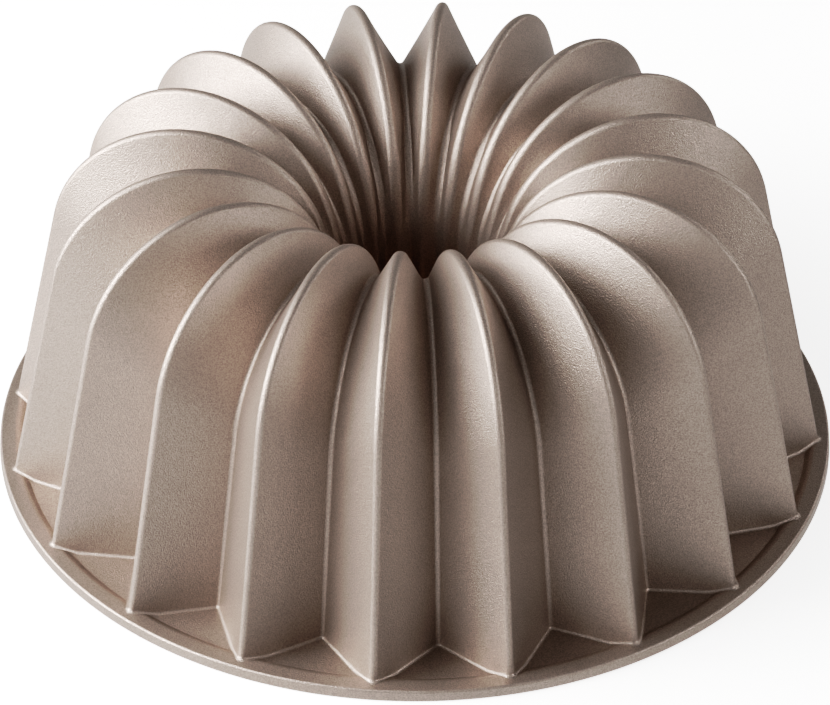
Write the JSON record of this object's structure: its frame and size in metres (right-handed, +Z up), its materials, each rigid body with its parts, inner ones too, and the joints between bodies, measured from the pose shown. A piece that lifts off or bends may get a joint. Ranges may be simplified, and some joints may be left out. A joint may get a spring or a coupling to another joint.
{
  "type": "bundt pan",
  "caption": "One-piece cast ring mould for cakes, with deep knife-edged flutes over its wall and crown, a tapered centre tube and a flat stepped rim.",
  "frame": {"origin": "centre of the flat rim face that the pan rests on when it stands dome up", "axes": "+Z up through the centre tube, from the rim towards the crown; a flute crest lies in the XZ plane"},
  "size_m": [0.26, 0.26, 0.1056],
  "materials": {
    "coated_casting": "satin metallic taupe non-stick coating with a fine sparkle, over cast aluminium"
  },
  "bodies": {
    "root": {"rim_flange": "coated_casting", "fluted_wall": "coated_casting", "fluted_crown": "coated_casting", "centre_tube": "coated_casting"}
  },
  "joints": []
}
